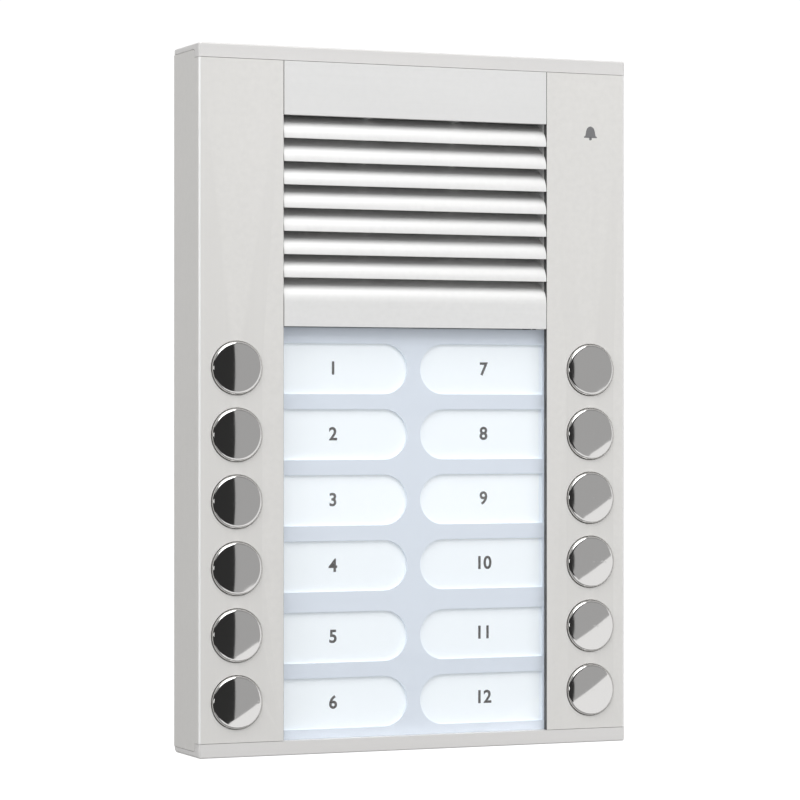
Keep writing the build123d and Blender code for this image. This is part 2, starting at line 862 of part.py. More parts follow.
# Wall bracket: folded sheet with the hinge lip on top and a slotted flange below
with BuildPart() as back_plate:
    with BuildSketch(Plane.YZ.offset(-plate_half)):
        with BuildLine():
            round_lip = ThreePointArc(
                (-lip_back, pivot_z), (-pivot_depth, pivot_z + lip_radius), (-lip_front, pivot_z)
            )
            Polyline(
                round_lip @ 1,
                (-lip_front, jog_top),
                (-plate_front, jog_bottom),
                (-plate_front, plate_bottom),
                (-seal_thickness, plate_bottom),
                (-seal_thickness, jog_bottom + 0.6),
                (-lip_back, jog_top + 0.6),
                round_lip @ 0,
            )
        make_face()
    extrude(amount=2 * plate_half)
    with BuildSketch(Plane.XY.offset(plate_bottom)):
        span(-flange_half, flange_half, -plate_front - flange_depth, -plate_front + 0.5)
        for x, y in lock_places:
            span(
                x - lock_shank - 0.4,
                x + lock_shank + 0.4,
                -plate_front - flange_depth - 1,
                y + lock_shank + 0.5,
                Mode.SUBTRACT,
            )
    extrude(amount=plate_thickness)
    with BuildSketch(Plane.XZ):
        with GridLocations(screw_spacing_x, screw_spacing_z, 2, 2):
            Circle(wall_hole)
        with Locations((0, cable_z)):
            Circle(cable_hole)
    extrude(amount=plate_front + 1, mode=Mode.SUBTRACT)
back_plate.part.label = "back_plate"
export_step(back_plate.part, "parts/back_plate.step")

with BuildPart() as back_seal:
    with BuildSketch(Plane.XZ):
        span(-plate_half, plate_half, plate_bottom, jog_bottom)
        with GridLocations(screw_spacing_x, screw_spacing_z, 2, 2):
            Circle(wall_hole + 1, mode=Mode.SUBTRACT)
        with Locations((0, cable_z)):
            Circle(cable_hole + grommet_lip + 0.2, mode=Mode.SUBTRACT)
    extrude(amount=seal_thickness)
back_seal.part.label = "back_seal"
export_step(back_seal.part, "parts/back_seal.step")

with BuildPart() as cable_grommet:
    turned(
        0,
        cable_z,
        [
            (cable_bore, depth - plate_front - 1.5),
            (cable_hole + grommet_lip, depth - plate_front - 1.5),
            (cable_hole + grommet_lip, depth - plate_front),
            (cable_hole - 0.05, depth - plate_front),
            (cable_hole - 0.05, depth - seal_thickness),
            (cable_hole + grommet_lip, depth - seal_thickness),
            (cable_hole + grommet_lip, depth - 0.1),
            (cable_bore, depth - 0.1),
        ],
    )
cable_grommet.part.label = "cable_grommet"
export_step(cable_grommet.part, "parts/cable_grommet.step")
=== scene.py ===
import math

import bmesh
import bpy
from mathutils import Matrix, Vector


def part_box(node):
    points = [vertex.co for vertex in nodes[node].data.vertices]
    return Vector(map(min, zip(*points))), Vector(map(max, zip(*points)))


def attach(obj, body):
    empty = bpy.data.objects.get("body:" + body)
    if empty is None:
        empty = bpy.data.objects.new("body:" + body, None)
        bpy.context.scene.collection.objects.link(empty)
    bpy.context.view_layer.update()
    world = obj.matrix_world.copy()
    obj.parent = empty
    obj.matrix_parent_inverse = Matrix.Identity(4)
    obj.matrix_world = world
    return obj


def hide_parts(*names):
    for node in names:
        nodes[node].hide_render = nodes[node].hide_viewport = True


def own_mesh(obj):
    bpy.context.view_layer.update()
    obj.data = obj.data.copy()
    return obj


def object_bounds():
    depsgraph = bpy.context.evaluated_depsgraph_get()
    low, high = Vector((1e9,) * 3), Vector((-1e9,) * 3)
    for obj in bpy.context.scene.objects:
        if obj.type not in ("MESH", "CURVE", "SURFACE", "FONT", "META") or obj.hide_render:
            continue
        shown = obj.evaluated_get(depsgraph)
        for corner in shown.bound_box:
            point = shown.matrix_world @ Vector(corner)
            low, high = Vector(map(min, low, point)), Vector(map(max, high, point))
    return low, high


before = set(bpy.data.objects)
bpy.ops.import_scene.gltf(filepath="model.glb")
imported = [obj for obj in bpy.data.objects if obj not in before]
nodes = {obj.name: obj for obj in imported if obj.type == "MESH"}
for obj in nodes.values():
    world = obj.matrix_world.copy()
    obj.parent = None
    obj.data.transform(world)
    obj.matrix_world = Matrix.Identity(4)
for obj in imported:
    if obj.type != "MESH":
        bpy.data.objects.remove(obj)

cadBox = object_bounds()
scene = bpy.context.scene
scene.view_settings.view_transform = "Standard"  # plain studio whites
mm = 0.001
columns = ("l", "r")
rows = range(1, 7)
print("frame loaded,", len(nodes), "nodes")

# camera
cameraSetup = {
    "place": (-0.464, -1.1045, -0.0045), "yaw": 23.0, "lens": 147.25, "sensor": 36, "shiftY": 0.0167,
    "clipStart": 0.01}


def makeCamera(setup):
    data = bpy.data.cameras.new("studioCamera")
    data.lens = setup["lens"]
    data.sensor_width = setup["sensor"]
    data.shift_y = setup["shiftY"]
    data.clip_start = setup["clipStart"]
    camera = bpy.data.objects.new("studioCamera", data)
    camera.location = setup["place"]
    camera.rotation_euler = (math.radians(90), 0, -math.radians(setup["yaw"]))
    scene.collection.objects.link(camera)
    scene.camera = camera


makeCamera(cameraSetup)
print("camera placed")


# shader tools
class Nodes:
    # shorthand for building one node tree
    def __init__(self, tree):
        self.tree = tree

    def add(self, kind, **settings):
        node = self.tree.nodes.new(kind)
        for name, value in settings.items():
            if hasattr(node, name):
                setattr(node, name, value)
            else:
                node.inputs[name.replace("_", " ")].default_value = value
        return node

    def link(self, source, target):
        self.tree.links.new(source, target)

    def feed(self, value, socket):
        # a number or colour is set, and an output is linked
        if isinstance(value, (int, float, tuple)):
            socket.default_value = value
        else:
            self.link(value, socket)

    def place(self):
        return self.add("ShaderNodeTexCoord").outputs["Object"]

    def group(self, name, **values):
        node = self.tree.nodes.new("ShaderNodeGroup")
        node.node_tree = bpy.data.node_groups[name]
        for key, value in values.items():
            node.inputs[key].default_value = value
        return node

    def grain(self, scale, cloudScale, tint, color, rough):
        return self.group("surfaceGrain", **{
            "Scale": scale, "Cloud Scale": cloudScale, "Tint": tint, "Color": color,
            "Rough Low": rough[0], "Rough High": rough[1]})

    def math(self, operation, *values):
        node = self.add("ShaderNodeMath", operation=operation)
        for number, value in enumerate(values):
            self.feed(value, node.inputs[number])
        return node.outputs[0]

    def scaleColor(self, color, factor):
        node = self.add("ShaderNodeVectorMath", operation="SCALE")
        self.link(color, node.inputs[0])
        self.link(factor, node.inputs["Scale"])
        return node.outputs[0]

    def noise(self, vector, scale, detail=2.0, rough=0.5):
        node = self.add("ShaderNodeTexNoise", Detail=detail, Roughness=rough)
        self.link(vector, node.inputs["Vector"])
        self.feed(scale, node.inputs["Scale"])
        return node.outputs["Fac"]

    def remap(self, value, low, high, fromLow=0.0, fromHigh=1.0):
        node = self.add("ShaderNodeMapRange")
        names = ("From Min", "From Max", "To Min", "To Max")
        for name, limit in zip(names, (fromLow, fromHigh, low, high)):
            self.feed(limit, node.inputs[name])
        self.link(value, node.inputs["Value"])
        return node.outputs["Result"]

    def blendColor(self, factor, first, second):
        node = self.add("ShaderNodeMix", data_type="RGBA", blend_type="MIX")
        self.feed(first, node.inputs[6])
        self.feed(second, node.inputs[7])
        self.link(factor, node.inputs[0])
        return node.outputs[2]


def startGroup(name, inputs, outputs):
    tree = bpy.data.node_groups.new(name, "ShaderNodeTree")
    for label, kind, value in inputs:
        socket = tree.interface.new_socket(label, in_out="INPUT", socket_type=kind)
        socket.default_value = value
    for label, kind in outputs:
        tree.interface.new_socket(label, in_out="OUTPUT", socket_type=kind)
    kit = Nodes(tree)
    return kit, kit.add("NodeGroupInput").outputs, kit.add("NodeGroupOutput").inputs


def makeSurfaceGrain():
    # matt blasted grain with faint cloudiness
    kit, given, out = startGroup(
        "surfaceGrain",
        [
            ("Scale", "NodeSocketFloat", 4000.0),
            ("Cloud Scale", "NodeSocketFloat", 40.0),
            ("Tint", "NodeSocketFloat", 0.05),
            ("Color", "NodeSocketColor", (0.5, 0.5, 0.5, 1)),
            ("Rough Low", "NodeSocketFloat", 0.4),
            ("Rough High", "NodeSocketFloat", 0.5),
        ],
        [("Color", "NodeSocketColor"), ("Roughness", "NodeSocketFloat"), ("Height", "NodeSocketFloat")],
    )
    place = kit.place()
    fine = kit.noise(place, given["Scale"], 3.0, 0.6)
    cloud = kit.noise(place, given["Cloud Scale"], 3.0, 0.5)
    both = kit.math("MULTIPLY_ADD", fine, 0.5, kit.math("MULTIPLY", cloud, 0.5))
    strength = kit.math("MULTIPLY_ADD", kit.math("SUBTRACT", both, 0.5), given["Tint"], 1.0)
    kit.link(kit.scaleColor(given["Color"], strength), out["Color"])
    kit.link(kit.remap(both, given["Rough Low"], given["Rough High"], 0.3, 0.7), out["Roughness"])
    kit.link(fine, out["Height"])


def makeDrawnLines():
    # fine lines left by extruding, rolling or turning, along one axis
    kit, given, out = startGroup(
        "drawnLines",
        [("Across", "NodeSocketVector", (900.0, 900.0, 12.0)), ("Contrast", "NodeSocketFloat", 0.1)],
        [("Tone", "NodeSocketFloat"), ("Height", "NodeSocketFloat")],
    )
    stretch = kit.add("ShaderNodeVectorMath", operation="MULTIPLY")
    kit.link(kit.place(), stretch.inputs[0])
    kit.link(given["Across"], stretch.inputs[1])
    lines = kit.noise(stretch.outputs[0], 1.0, 4.0, 0.6)
    tone = kit.math("MULTIPLY_ADD", kit.math("SUBTRACT", lines, 0.5), given["Contrast"], 1.0)
    kit.link(tone, out["Tone"])
    kit.link(lines, out["Height"])


def makeEdgeRub():
    # brighter metal where edges are handled
    kit, given, out = startGroup(
        "edgeRub",
        [
            ("Low", "NodeSocketFloat", 0.53),
            ("High", "NodeSocketFloat", 0.62),
            ("Break", "NodeSocketFloat", 300.0),
        ],
        [("Mask", "NodeSocketFloat")],
    )
    sharp = kit.add("ShaderNodeNewGeometry").outputs["Pointiness"]
    edge = kit.remap(sharp, 0.0, 1.0, given["Low"], given["High"])
    speckle = kit.noise(kit.place(), given["Break"])
    kit.link(kit.math("MULTIPLY", edge, speckle), out["Mask"])


makeSurfaceGrain()
makeDrawnLines()
makeEdgeRub()
print("effects built")


def newMaterial(name, **sockets):
    material = bpy.data.materials.new(name)
    material.use_nodes = True
    kit = Nodes(material.node_tree)
    shader = material.node_tree.nodes["Principled BSDF"]
    for key, value in sockets.items():
        shader.inputs[key.replace("_", " ")].default_value = value
    return material, kit, shader


def bump(kit, shader, height, strength, distance):
    node = kit.add("ShaderNodeBump", Strength=strength, Distance=distance)
    kit.link(height, node.inputs["Height"])
    kit.link(node.outputs["Normal"], shader.inputs["Normal"])


def lighter(color, times):
    return tuple(min(1.0, part * times) for part in color[:3]) + (1,)


def dress(material, *names):
    for name in names:
        slots = nodes[name].data.materials
        if len(slots):
            for number in range(len(slots)):
                slots[number] = material
        else:
            slots.append(material)


def allOf(kind):
    return [f"{kind}_{column}{row}" for column in columns for row in rows]


def middleOf(name):
    low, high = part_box(name)
    return (Vector(low) + Vector(high)) / 2


def linked(name, data):
    piece = bpy.data.objects.new(name, data)
    scene.collection.objects.link(piece)
    return piece


# anodised aluminium: blasted grain under a clear oxide, with faint extrusion lines
railMetal = {"color": (0.80, 0.79, 0.77, 1), "rough": (0.50, 0.58), "lines": (700, 700, 6)}
capMetal = {"color": (0.80, 0.79, 0.78, 1), "rough": (0.48, 0.56), "lines": (6, 700, 700)}
grilleMetal = {"color": (0.84, 0.84, 0.835, 1), "rough": (0.46, 0.54), "lines": (6, 700, 700)}
anodisedFinish = {
    "metallic": 0.35, "grain": 5200.0, "cloud": 30.0, "tint": 0.06, "lineContrast": 0.05,
    "rub": {"Low": 0.54, "High": 0.66, "Break": 500.0}, "rubGain": 1.08,
    "bump": 0.12, "bumpDepth": 0.04 * mm}
# painted light on the rails, from the middle: painted shade on the window reveal, painted highlight along the
# rounded front corner
railPaintedLight = {
    "reveal": 51.35 * mm, "revealPaintedShade": (0.10, 0.10, 0.10, 1),
    "highlightCornerX": (82.15 * mm, 82.5 * mm), "highlightCornerY": (26.75 * mm, 27.1 * mm), "cornerPaintedHighlight": (1.0, 1.0, 1.0, 1)}


def paintRailLight(kit, base, look):
    # painted shade on the reveal beside the window, and a painted highlight along the rounded corner
    apart = kit.add("ShaderNodeSeparateXYZ")
    kit.link(kit.place(), apart.inputs[0])
    across = kit.math("ABSOLUTE", apart.outputs["X"])
    forward = kit.math("MULTIPLY", apart.outputs["Y"], -1.0)
    # painted shade mask: rail surface nearer the middle than the reveal
    inside = kit.math("LESS_THAN", across, look["reveal"])
    # painted highlight mask along the rounded front corner
    side = kit.remap(across, 0.0, 1.0, *look["highlightCornerX"])
    face = kit.remap(forward, 0.0, 1.0, *look["highlightCornerY"])
    lit = kit.blendColor(kit.math("MULTIPLY", side, face), base, look["cornerPaintedHighlight"])
    return kit.blendColor(inside, lit, look["revealPaintedShade"])


def anodised(name, look, finish, paintedLight=None):
    material, kit, shader = newMaterial(name, Metallic=finish["metallic"])
    grain = kit.grain(finish["grain"], finish["cloud"], finish["tint"], look["color"], look["rough"])
    drawn = kit.group("drawnLines", Across=look["lines"], Contrast=finish["lineContrast"])
    rub = kit.group("edgeRub", **finish["rub"])
    toned = kit.scaleColor(grain.outputs["Color"], drawn.outputs["Tone"])
    base = kit.blendColor(rub.outputs["Mask"], toned, lighter(look["color"], finish["rubGain"]))
    # painted shade and painted highlight, on the rails only
    if paintedLight:
        base = paintRailLight(kit, base, paintedLight)
    kit.link(base, shader.inputs["Base Color"])
    kit.link(grain.outputs["Roughness"], shader.inputs["Roughness"])
    bump(kit, shader, grain.outputs["Height"], finish["bump"], finish["bumpDepth"])
    return material


dress(anodised("railMetal", railMetal, anodisedFinish, railPaintedLight), "left_rail", "right_rail")
dress(anodised("capMetal", capMetal, anodisedFinish), "top_cap", "bottom_cap")
dress(anodised("grilleMetal", grilleMetal, anodisedFinish), "grille_panel")
print("housing finished")

# polished, drawn and plated metals
buttonSteel = {
    "color": (0.80, 0.79, 0.78, 1), "rough": (0.035, 0.06), "grain": 600.0, "tint": 0.03, "bump": 0}
springWire = {
    "color": (0.55, 0.55, 0.56, 1), "rough": (0.25, 0.4), "grain": 3000.0, "tint": 0.1,
    "lines": (9000, 200, 9000), "bump": 0.2}
turnedScrew = {
    "color": (0.62, 0.61, 0.60, 1), "rough": (0.22, 0.34), "grain": 2500.0, "tint": 0.1, "bump": 0.05}
zincPlated = {
    "color": (0.66, 0.67, 0.66, 1), "rough": (0.28, 0.42), "grain": 1800.0, "tint": 0.12, "bump": 0.05}
brassNut = {
    "color": (0.78, 0.58, 0.26, 1), "rough": (0.25, 0.38), "grain": 2200.0, "tint": 0.12,
    "lines": (3000, 3000, 200), "bump": 0.15}
capsuleCan = {
    "color": (0.78, 0.78, 0.79, 1), "rough": (0.22, 0.32), "grain": 1500.0, "tint": 0.05, "bump": 0.05}
metalFinish = {"cloud": 120.0, "lineContrast": 0.25, "bumpDepth": 0.05 * mm}


def metal(name, look, finish):
    material, kit, shader = newMaterial(name, Metallic=1.0)
    grain = kit.grain(look["grain"], finish["cloud"], look["tint"], look["color"], look["rough"])
    base, height = grain.outputs["Color"], grain.outputs["Height"]
    if "lines" in look:
        drawn = kit.group("drawnLines", Across=look["lines"], Contrast=finish["lineContrast"])
        base, height = kit.scaleColor(base, drawn.outputs["Tone"]), drawn.outputs["Height"]
    kit.link(base, shader.inputs["Base Color"])
    kit.link(grain.outputs["Roughness"], shader.inputs["Roughness"])
    if look["bump"]:
        bump(kit, shader, height, look["bump"], finish["bumpDepth"])
    return material


springSteel = metal("springWire", springWire, metalFinish)
dress(springSteel, *allOf("spring"))
dress(metal("buttonSteel", buttonSteel, metalFinish), *allOf("button"))
dress(metal("turnedScrew", turnedScrew, metalFinish), "cap_screws", "lock_screws")
dress(
    metal("zincPlated", zincPlated, metalFinish),
    "board_screws", "terminal_screws", "speaker_basket", "speaker_clamp")
dress(metal("brassNut", brassNut, metalFinish), "lock_nuts")
dress(metal("capsuleCan", capsuleCan, metalFinish), "microphone")

zincSpangle = {
    "dark": (0.50, 0.52, 0.54, 1), "light": (0.68, 0.70, 0.72, 1), "scale": 110.0, "metallic": 0.9,
    "rough": (0.3, 0.5), "bump": 0.1, "bumpDepth": 0.05 * mm}


def galvanised(look):
    # flakes of zinc on folded sheet
    material, kit, shader = newMaterial("galvanisedSheet", Metallic=look["metallic"])
    flakes = kit.add("ShaderNodeTexVoronoi", Scale=look["scale"])
    kit.link(kit.place(), flakes.inputs["Vector"])
    split = kit.add("ShaderNodeSeparateColor")
    kit.link(flakes.outputs["Color"], split.inputs[0])
    kit.link(kit.blendColor(split.outputs[0], look["dark"], look["light"]), shader.inputs["Base Color"])
    kit.link(kit.remap(split.outputs[1], *look["rough"]), shader.inputs["Roughness"])
    bump(kit, shader, split.outputs[2], look["bump"], look["bumpDepth"])
    return material


dress(galvanised(zincSpangle), "back_plate")
print("metals finished")

# return springs (in the real panel they shorten when their button is pressed), wound as coils fixed to the
# front
returnSpring = {"wire": 0.28 * mm, "turns": 5, "stepsPerTurn": 28, "sides": 10, "travel": 1.5 * mm}


def coilMesh(name, low, high, look):
    # round wire wound along Y inside the given box
    middle = (low + high) / 2
    radius = (high.x - low.x) / 2 - look["wire"]
    first, last = low.y + look["wire"], high.y - look["wire"]
    count, sides = look["turns"] * look["stepsPerTurn"], look["sides"]
    points = []
    for step in range(count + 1):
        turn = 2 * math.pi * step / look["stepsPerTurn"]
        outward = Vector((math.cos(turn), 0, math.sin(turn)))
        spot = Vector((middle.x, first + (last - first) * step / count, middle.z)) + outward * radius
        for side in range(sides):
            around = 2 * math.pi * side / sides
            away = outward * math.cos(around) + Vector((0, math.sin(around), 0))
            points.append(spot + look["wire"] * away)
    faces = [
        (a + b, a + (b + 1) % sides, a + sides + (b + 1) % sides, a + sides + b)
        for a in range(0, count * sides, sides)
        for b in range(sides)]
    faces += [tuple(range(sides))[::-1], tuple(range(count * sides, (count + 1) * sides))]
    mesh = bpy.data.meshes.new(name)
    mesh.from_pydata(points, [], faces)
    mesh.shade_smooth()
    return mesh


def makeSpring(column, row, look, material):
    node = f"spring_{column}{row}"
    low, high = (Vector(corner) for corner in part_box(node))
    mesh = coilMesh(f"return_{node}", low, high, look)
    mesh.materials.append(material)
    piece = linked(f"return_{node}", mesh)
    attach(piece, "front")
    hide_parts(node)
    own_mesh(piece)


for column in columns:
    for row in rows:
        makeSpring(column, row, returnSpring, springSteel)
print("springs wound")

# window: clear cover, printed mask, paper cards and opal sheet
coverLook = {"tint": (0.985, 0.99, 0.992, 1), "rough": 0.015, "ior": 1.49}
# glow: painted backlight glow on the mask, the cards and the opal sheet
maskFilm = {
    "color": (0.68, 0.735, 0.81, 1), "glow": 0.10, "rough": 0.4, "grain": 3500.0, "tint": 0.03, "bump": 0.1}
cardPaper = {
    "color": (0.86, 0.91, 0.95, 1), "glow": 0.10, "rough": 0.75, "grain": 2600.0, "tint": 0.02, "bump": 0.2}
opalSheet = {
    "color": (0.9, 0.92, 0.94, 1), "glow": 0.4, "rough": 0.3, "grain": 1500.0, "tint": 0.02, "bump": 0.02}
sheetFinish = {"cloud": 60.0, "roughSpread": 0.1, "bumpDepth": 0.04 * mm}


def clearCover(look):
    material, kit, shader = newMaterial(
        "clearCover", Base_Color=look["tint"], Roughness=look["rough"], IOR=look["ior"])
    shader.inputs["Transmission Weight"].default_value = 1.0
    path = kit.add("ShaderNodeLightPath").outputs
    either = kit.math("MAXIMUM", path["Is Shadow Ray"], path["Is Diffuse Ray"])
    both = kit.add("ShaderNodeMixShader")
    kit.link(either, both.inputs[0])
    kit.link(shader.outputs[0], both.inputs[1])
    kit.link(kit.add("ShaderNodeBsdfTransparent").outputs[0], both.inputs[2])
    kit.link(both.outputs[0], material.node_tree.nodes["Material Output"].inputs["Surface"])
    return material


def paintedBacklightSheet(name, look, finish):
    # film, card or opal sheet with a painted glow standing in for the backlight coming through from behind
    material, kit, shader = newMaterial(name)
    rough = (look["rough"], look["rough"] + finish["roughSpread"])
    grain = kit.grain(look["grain"], finish["cloud"], look["tint"], look["color"], rough)
    kit.link(grain.outputs["Color"], shader.inputs["Base Color"])
    kit.link(grain.outputs["Color"], shader.inputs["Emission Color"])
    # painted glow for the backlight shining through the sheet
    shader.inputs["Emission Strength"].default_value = look["glow"]
    kit.link(grain.outputs["Roughness"], shader.inputs["Roughness"])
    bump(kit, shader, grain.outputs["Height"], look["bump"], finish["bumpDepth"])
    return material


dress(clearCover(coverLook), "window_cover")
dress(paintedBacklightSheet("maskFilm", maskFilm, sheetFinish), "label_mask")
dress(paintedBacklightSheet("cardPaper", cardPaper, sheetFinish), "name_cards")
dress(paintedBacklightSheet("opalSheet", opalSheet, sheetFinish), "light_diffuser")

lampPhosphor = {
    "base": (0.9, 0.85, 0.6, 1), "warm": (1.0, 0.93, 0.75, 1), "cool": (1.0, 0.98, 0.9, 1),
    "speck": 3000.0, "rough": 0.3, "glow": 1.2}


def lampMaterial(look):
    material, kit, shader = newMaterial("lampPhosphor", Base_Color=look["base"], Roughness=look["rough"])
    speck = kit.noise(kit.place(), look["speck"])
    kit.link(kit.blendColor(speck, look["warm"], look["cool"]), shader.inputs["Emission Color"])
    shader.inputs["Emission Strength"].default_value = look["glow"]
    return material


dress(lampMaterial(lampPhosphor), "backlight_leds")
print("window finished")

# mouldings, rubber and foam: colour, roughness, grain, tint and bump of each
mouldings = {
    "blackMoulding": ((0.028, 0.028, 0.03, 1), 0.42, 2200.0, 0.15, 0.25),
    "whiteMoulding": ((0.74, 0.72, 0.65, 1), 0.4, 2200.0, 0.15, 0.25),
    "greenMoulding": ((0.05, 0.33, 0.12, 1), 0.38, 2200.0, 0.15, 0.25),
    "greySilicone": ((0.05, 0.05, 0.052, 1), 0.55, 1500.0, 0.15, 0.25),
    "cellFoam": ((0.045, 0.045, 0.048, 1), 0.85, 1300.0, 0.5, 0.9),
    "magnetBlack": ((0.03, 0.03, 0.032, 1), 0.35, 1200.0, 0.15, 0.25),
}
mouldedNodes = {
    "blackMoulding": ("button_carriers", "board_components", "tact_switches"),
    "whiteMoulding": ("board_sockets",),
    "greenMoulding": ("terminal_header", "terminal_plug"),
    "greySilicone": ("button_seals", "microphone_boot", "cable_grommet"),
    "cellFoam": ("speaker_gasket", "back_seal"),
    "magnetBlack": ("speaker_magnet",),
}
mouldedFinish = {"cloud": 80.0, "roughSpread": 0.15, "bumpDepth": 0.06 * mm}


def moulded(name, look, finish):
    color, rough, grainScale, tint, height = look
    material, kit, shader = newMaterial(name)
    grain = kit.grain(grainScale, finish["cloud"], tint, color, (rough, rough + finish["roughSpread"]))
    kit.link(grain.outputs["Color"], shader.inputs["Base Color"])
    kit.link(grain.outputs["Roughness"], shader.inputs["Roughness"])
    bump(kit, shader, grain.outputs["Height"], height, finish["bumpDepth"])
    return material


for name, look in mouldings.items():
    dress(moulded(name, look, mouldedFinish), *mouldedNodes[name])

coneLook = {
    "dark": (0.03, 0.03, 0.033, 1), "light": (0.08, 0.08, 0.085, 1), "rings": 260.0, "rough": 0.3,
    "bump": 0.4, "bumpDepth": 0.2 * mm}


def coneFilm(look, middle):
    # thin pressed film with rings round the speaker's axis
    material, kit, shader = newMaterial("coneFilm", Roughness=look["rough"])
    centred = kit.add("ShaderNodeVectorMath", operation="SUBTRACT")
    kit.link(kit.place(), centred.inputs[0])
    centred.inputs[1].default_value = middle
    rings = kit.add("ShaderNodeTexWave", wave_type="RINGS", rings_direction="Y", Scale=look["rings"])
    kit.link(centred.outputs[0], rings.inputs["Vector"])
    tone = kit.blendColor(rings.outputs["Fac"], look["dark"], look["light"])
    kit.link(tone, shader.inputs["Base Color"])
    bump(kit, shader, rings.outputs["Fac"], look["bump"], look["bumpDepth"])
    return material


dress(coneFilm(coneLook, middleOf("speaker_cone")), "speaker_cone")

clothLook = {
    "dark": (0.006, 0.006, 0.006, 1), "light": (0.03, 0.029, 0.028, 1), "threads": 620.0, "rough": 0.85,
    "bump": 0.5, "bumpDepth": 0.1 * mm}


def wovenCloth(look):
    material, kit, shader = newMaterial("wovenCloth", Roughness=look["rough"])
    place = kit.place()
    threads = []
    for direction in ("X", "Z"):
        wave = kit.add("ShaderNodeTexWave", bands_direction=direction, Scale=look["threads"])
        kit.link(place, wave.inputs["Vector"])
        threads.append(wave.outputs["Fac"])
    weave = kit.math("MULTIPLY", *threads)
    kit.link(kit.blendColor(weave, look["dark"], look["light"]), shader.inputs["Base Color"])
    bump(kit, shader, weave, look["bump"], look["bumpDepth"])
    return material


dress(wovenCloth(clothLook), "grille_cloth")

cableLook = {
    "film": (0.82, 0.82, 0.8, 1), "track": (0.45, 0.46, 0.48, 1), "tracks": 160.0, "edge": (0.45, 0.55),
    "rough": 0.35, "bump": 0.3, "bumpDepth": 0.1 * mm}


def flatCable(look):
    # white film with silver tracks
    material, kit, shader = newMaterial("flatCable", Roughness=look["rough"])
    tracks = kit.add("ShaderNodeTexWave", bands_direction="Z", Scale=look["tracks"])
    kit.link(kit.place(), tracks.inputs["Vector"])
    sharp = kit.remap(tracks.outputs["Fac"], 0.0, 1.0, *look["edge"])
    kit.link(kit.blendColor(sharp, look["film"], look["track"]), shader.inputs["Base Color"])
    bump(kit, shader, sharp, look["bump"], look["bumpDepth"])
    return material


dress(flatCable(cableLook), "flat_cables")

boardLook = {
    "mask": (0.012, 0.10, 0.045, 1), "track": (0.02, 0.17, 0.075, 1), "pad": (0.55, 0.54, 0.5, 1),
    "tracks": 210.0, "trackEdge": (0.02, 0.05), "pads": 300.0, "padEdge": (0.08, 0.1),
    "rough": 0.32, "bump": 0.2, "bumpDepth": 0.1 * mm}


def circuitBoard(look):
    # solder mask over copper tracks, with pads
    material, kit, shader = newMaterial("circuitBoard", Roughness=look["rough"])
    place = kit.place()
    cells = kit.add(
        "ShaderNodeTexVoronoi", feature="DISTANCE_TO_EDGE", distance="CHEBYCHEV", Scale=look["tracks"])
    kit.link(place, cells.inputs["Vector"])
    tracks = kit.remap(cells.outputs["Distance"], 1.0, 0.0, *look["trackEdge"])
    dots = kit.add("ShaderNodeTexVoronoi", Scale=look["pads"])
    kit.link(place, dots.inputs["Vector"])
    pads = kit.remap(dots.outputs["Distance"], 1.0, 0.0, *look["padEdge"])
    green = kit.blendColor(tracks, look["mask"], look["track"])
    kit.link(kit.blendColor(pads, green, look["pad"]), shader.inputs["Base Color"])
    kit.link(pads, shader.inputs["Metallic"])
    bump(kit, shader, tracks, look["bump"], look["bumpDepth"])
    return material


dress(circuitBoard(boardLook), "main_board", "switch_boards")
print("inside finished")

# printed numbers on the name cards
cardPrint = {
    "height": 4.6 * mm, "sizePerHeight": 1.4, "thickness": 0.03 * mm, "bold": 0.16 * mm,
    "leftX": -30.8 * mm, "rightX": 28.0 * mm, "lowRows": (5, 6), "lowDrop": 1.8 * mm}
cardInk = {"color": (0.035, 0.033, 0.032, 1), "spread": 1.6, "speck": 2500.0, "rough": 0.7}
signInk = {"color": (0.16, 0.16, 0.165, 1), "spread": 1.3, "speck": 2500.0, "rough": 0.6}


def inkMaterial(name, look):
    material, kit, shader = newMaterial(name, Roughness=look["rough"])
    speck = kit.noise(kit.place(), look["speck"])
    thin = lighter(look["color"], look["spread"])
    kit.link(kit.blendColor(speck, look["color"], thin), shader.inputs["Base Color"])
    return material


def printedNumber(text, x, y, z, look, material):
    curve = bpy.data.curves.new(f"number{text}", "FONT")
    curve.body = text
    curve.size = look["height"] * look["sizePerHeight"]
    curve.align_x = "CENTER"
    curve.align_y = "CENTER"
    curve.extrude = look["thickness"] / 2
    curve.offset = look["bold"]
    letter = linked(f"card_number_{text}", curve)
    letter.rotation_euler = (math.radians(90), 0, 0)
    letter.location = (x, y - look["thickness"] / 2, z)
    bpy.context.view_layer.update()
    mesh = bpy.data.meshes.new_from_object(letter)
    mesh.transform(letter.matrix_world)
    bpy.data.objects.remove(letter)
    mesh.materials.clear()
    mesh.materials.append(material)
    piece = linked(f"card_number_{text}", mesh)
    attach(piece, "front")


def printCards(look, material):
    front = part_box("name_cards")[0][1]
    for before, column, x in ((0, "l", look["leftX"]), (len(rows), "r", look["rightX"])):
        for row in rows:
            z = middleOf(f"button_{column}{row}").z
            if row in look["lowRows"]:
                z -= look["lowDrop"]
            printedNumber(str(before + row), x, front, z, look, material)


printCards(cardPrint, inkMaterial("cardInk", cardInk))
print("cards printed")

# small bell sign, printed on the right rail
bellSign = {
    "x": 69.0 * mm, "z": 98.4 * mm, "height": 5.7 * mm, "thickness": 0.02 * mm, "behindButtons": 1.5 * mm,
    # height and half width of the bell from its rim upwards, as shares
    "outline": (
        (0.0, 0.46), (0.08, 0.46), (0.16, 0.36), (0.5, 0.31), (0.72, 0.24), (0.84, 0.12), (0.88, 0.0)),
    "rim": 0.16, "clapper": 0.1, "clapperSides": 12}


